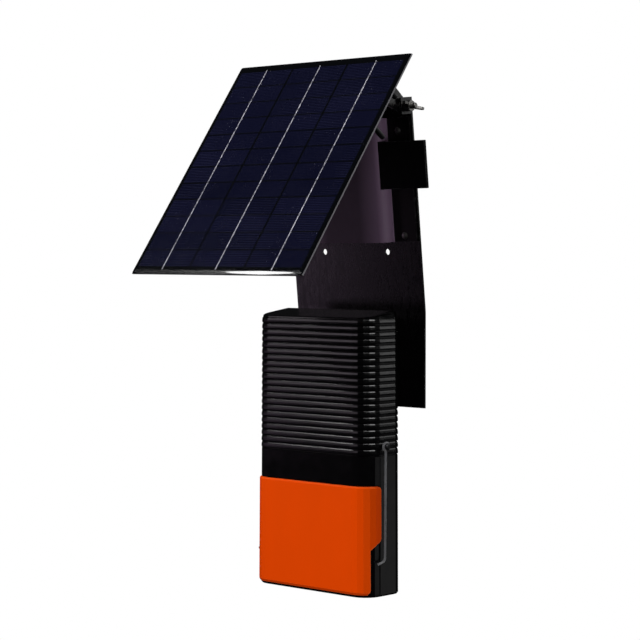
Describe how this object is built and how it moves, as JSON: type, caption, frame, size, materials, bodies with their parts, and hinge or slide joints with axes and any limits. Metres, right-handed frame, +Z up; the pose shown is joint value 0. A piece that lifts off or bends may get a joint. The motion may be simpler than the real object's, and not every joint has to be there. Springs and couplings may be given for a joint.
{
  "type": "fence energizer",
  "caption": "Weatherproof electric-fence unit with a ribbed case and hinged front cover, on a bent mounting plate, with a tilting solar panel above it.",
  "frame": {"origin": "on the rear face of the mounting plate, at the middle of its upright part", "axes": "+X to the right seen from the front, -Y to the front, +Z up"},
  "size_m": [0.24, 0.2179, 0.5493],
  "materials": {
    "black_powder_coat": "fine satin powder coat",
    "black_plastic": "moulded, fine grain",
    "orange_plastic": "moulded, satin",
    "zinc_plated_steel": "zinc plated",
    "stainless_wire": "drawn wire",
    "solar_cells": "cells under a clear sheet",
    "panel_backing": "smooth sheet",
    "aluminium": "mill finish",
    "black_rubber": "matt",
    "battery_grey": "moulded",
    "strap_black": "moulded",
    "circuit_board_green": "solder mask",
    "ferrite": "sintered",
    "coil_copper": "enamelled wire",
    "capacitor_sleeve": "shrunk sleeve",
    "brass": "turned",
    "red_plastic": "moulded",
    "green_plastic": "moulded",
    "indicator_lens": "clear red"
  },
  "bodies": {
    "mounting": {"battery": "battery_grey", "battery_strap": "strap_black", "case_bracket": "black_powder_coat", "case_screw_1": "zinc_plated_steel", "case_screw_2": "zinc_plated_steel", "channel_rivet_1": "zinc_plated_steel", "channel_rivet_2": "zinc_plated_steel", "channel_rivet_3": "zinc_plated_steel", "channel_rivet_4": "zinc_plated_steel", "circuit_board": "circuit_board_green", "cover_pin_left": "stainless_wire", "cover_pin_right": "stainless_wire", "cross_bar": "black_powder_coat", "earth_terminal_stud": "brass", "fence_lead_gland": "black_plastic", "fence_terminal_stud": "brass", "hinge_bolt_left": "zinc_plated_steel", "hinge_bolt_right": "zinc_plated_steel", "hinge_washer_left": "zinc_plated_steel", "hinge_washer_right": "zinc_plated_steel", "housing_back": "black_plastic", "housing_front": "black_plastic", "housing_gasket": "black_rubber", "housing_screw_1": "zinc_plated_steel", "housing_screw_2": "zinc_plated_steel", "housing_screw_3": "zinc_plated_steel", "housing_screw_4": "zinc_plated_steel", "indicator_lens": "indicator_lens", "latch_stud_left": "zinc_plated_steel", "latch_stud_right": "zinc_plated_steel", "mount_plate": "black_powder_coat", "panel_lead_gland": "black_plastic", "storage_capacitor": "capacitor_sleeve", "switch_bezel": "black_plastic", "tilt_channel": "black_powder_coat", "transformer_coil": "coil_copper", "transformer_core": "ferrite"},
    "solar_panel": {"panel_cell_sheet": "solar_cells", "panel_backing": "panel_backing", "panel_rail_left": "aluminium", "panel_rail_right": "aluminium", "panel_bracket": "black_powder_coat", "junction_box": "black_plastic", "junction_box_lid": "black_plastic", "rail_bolt_1": "zinc_plated_steel", "rail_bolt_2": "zinc_plated_steel", "rail_bolt_3": "zinc_plated_steel", "rail_bolt_4": "zinc_plated_steel", "rail_nut_1": "zinc_plated_steel", "rail_nut_2": "zinc_plated_steel", "rail_nut_3": "zinc_plated_steel", "rail_nut_4": "zinc_plated_steel"},
    "wing_nut_left": {"wing_nut_left": "zinc_plated_steel"},
    "wing_nut_right": {"wing_nut_right": "zinc_plated_steel"},
    "front_cover": {"front_cover": "orange_plastic"},
    "latch_wire_left": {"latch_wire_left": "stainless_wire"},
    "latch_wire_right": {"latch_wire_right": "stainless_wire"},
    "fence_terminal_knob": {"fence_terminal_knob": "red_plastic"},
    "earth_terminal_knob": {"earth_terminal_knob": "green_plastic"},
    "power_switch": {"power_switch": "red_plastic"}
  },
  "joints": [
    {"name": "panel_tilt", "type": "hinge", "parent": "mounting", "child": "solar_panel", "pos_m": [0, -0.0326, 0.25974], "axis": [1, 0, 0], "range_deg": [-34, 20]},
    {"name": "wing_nut_left_turn", "type": "hinge", "parent": "mounting", "child": "wing_nut_left", "pos_m": [-0.094, -0.0326, 0.25974], "axis": [1, 0, 0], "continuous": true},
    {"name": "wing_nut_right_turn", "type": "hinge", "parent": "mounting", "child": "wing_nut_right", "pos_m": [0.094, -0.0326, 0.25974], "axis": [1, 0, 0], "continuous": true},
    {"name": "cover_hinge", "type": "hinge", "parent": "mounting", "child": "front_cover", "pos_m": [0, -0.0782, -0.1335], "axis": [-1, 0, 0], "range_deg": [0, 90]},
    {"name": "latch_left_swing", "type": "hinge", "parent": "mounting", "child": "latch_wire_left", "pos_m": [-0.0847, -0.056, -0.086], "axis": [1, 0, 0], "range_deg": [0, 100]},
    {"name": "latch_right_swing", "type": "hinge", "parent": "mounting", "child": "latch_wire_right", "pos_m": [0.0847, -0.056, -0.086], "axis": [1, 0, 0], "range_deg": [0, 100]},
    {"name": "fence_terminal_turn", "type": "hinge", "parent": "mounting", "child": "fence_terminal_knob", "pos_m": [-0.04, -0.066, -0.182], "axis": [0, 1, 0], "continuous": true},
    {"name": "earth_terminal_turn", "type": "hinge", "parent": "mounting", "child": "earth_terminal_knob", "pos_m": [0.04, -0.066, -0.182], "axis": [0, 1, 0], "continuous": true},
    {"name": "power_switch_rock", "type": "hinge", "parent": "mounting", "child": "power_switch", "pos_m": [0, -0.0602, -0.172], "axis": [-1, 0, 0], "range_deg": [0, 12]}
  ]
}
